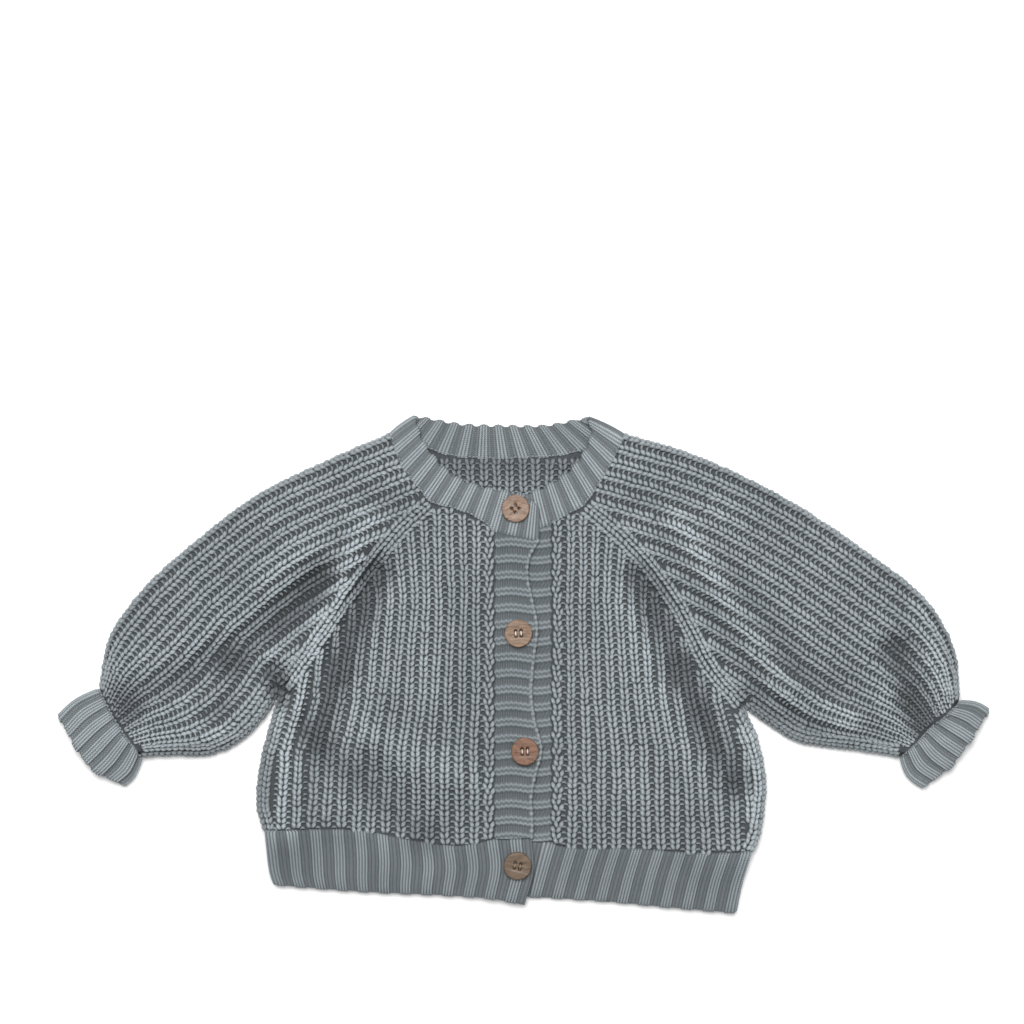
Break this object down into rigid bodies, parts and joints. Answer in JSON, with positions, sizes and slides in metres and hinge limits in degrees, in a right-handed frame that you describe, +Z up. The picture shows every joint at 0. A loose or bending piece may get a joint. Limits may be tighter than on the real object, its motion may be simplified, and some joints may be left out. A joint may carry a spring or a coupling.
{
  "type": "baby chunky knit cardigan",
  "caption": "Buttoned raglan baby cardigan in chunky rib knit with balloon sleeves, laid flat on its back.",
  "frame": {"origin": "middle of the bounding box's underside, on the surface that the back lies on", "axes": "+X from the wearer's right sleeve to the left one, +Y from the hem to the neck, +Z up from the surface, through the front"},
  "size_m": [0.5078, 0.2723, 0.0186],
  "materials": {
    "yarn": "matt chunky rib knit in soft grey-blue wool blend yarn",
    "wood": "smooth turned wood, lightly oiled"
  },
  "bodies": {
    "root": {"back_panel": "yarn", "hem_back": "yarn", "front_right": "yarn", "front_left": "yarn", "hem_front_right": "yarn", "hem_front_left": "yarn", "sleeve_right": "yarn", "sleeve_left": "yarn", "cuff_right": "yarn", "cuff_left": "yarn", "buttonhole_band": "yarn", "button_band": "yarn", "neckband": "yarn", "button_1": "wood", "button_2": "wood", "button_3": "wood", "button_4": "wood"}
  },
  "joints": []
}
